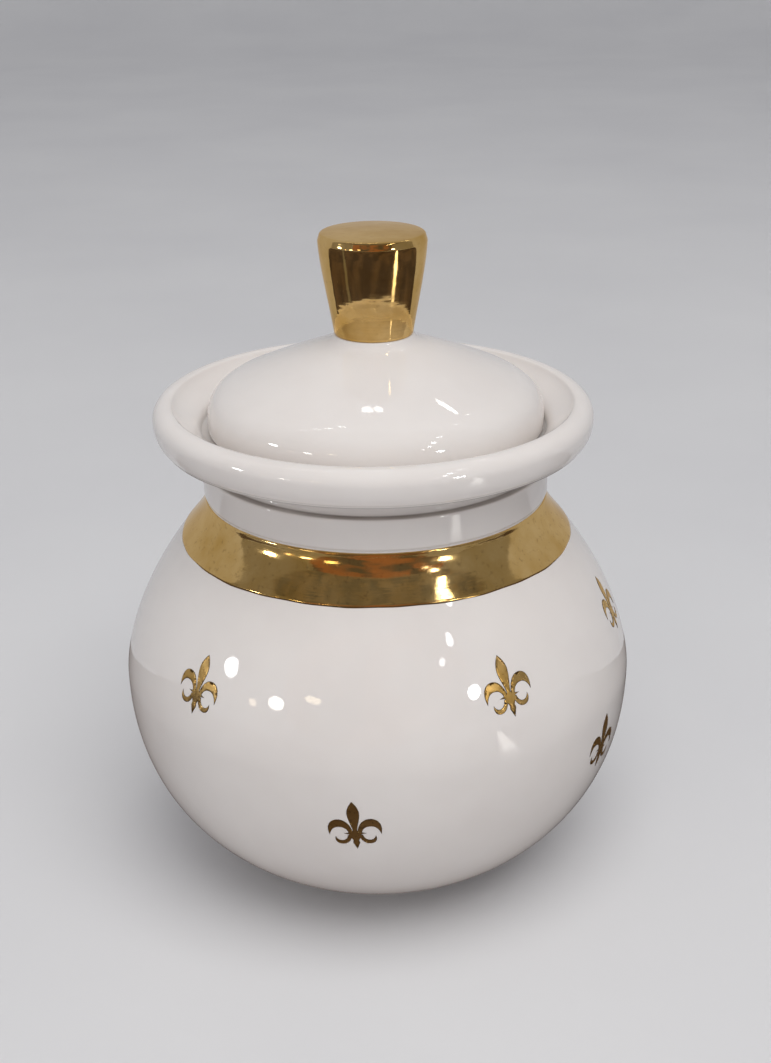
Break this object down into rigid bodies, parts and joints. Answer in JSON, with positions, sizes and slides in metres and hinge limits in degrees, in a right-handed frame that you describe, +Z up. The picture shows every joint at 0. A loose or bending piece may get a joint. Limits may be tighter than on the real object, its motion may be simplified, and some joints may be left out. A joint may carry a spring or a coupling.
{
  "type": "sugar bowl",
  "caption": "Round glazed sugar bowl with a flared rim, gold shoulder band and gold fleur-de-lis, and a domed lift-off lid with a tapered gold knob.",
  "frame": {"origin": "centre of the foot ring, on the surface the bowl stands on", "axes": "+Z up along the bowl's axis, -Y towards the front of the bowl"},
  "size_m": [0.096, 0.096, 0.1229],
  "materials": {
    "glaze": "clear gloss glaze over white clay",
    "gold": "bright fired gold lustre",
    "knob_lustre": "bright fired gold lustre over glazed clay"
  },
  "bodies": {
    "bowl": {"bowl_body": "glaze", "shoulder_band": "gold", "fleur_upper_1": "gold", "fleur_upper_2": "gold", "fleur_upper_3": "gold", "fleur_upper_4": "gold", "fleur_upper_5": "gold", "fleur_lower_1": "gold", "fleur_lower_2": "gold", "fleur_lower_3": "gold", "fleur_lower_4": "gold", "fleur_lower_5": "gold"},
    "lid": {"lid_dome": "glaze", "lid_knob": "knob_lustre"}
  },
  "joints": [
    {"name": "lid_lift", "type": "slide", "parent": "bowl", "child": "lid", "axis": [0, 0, 1], "range_m": [0, 0.08]}
  ]
}
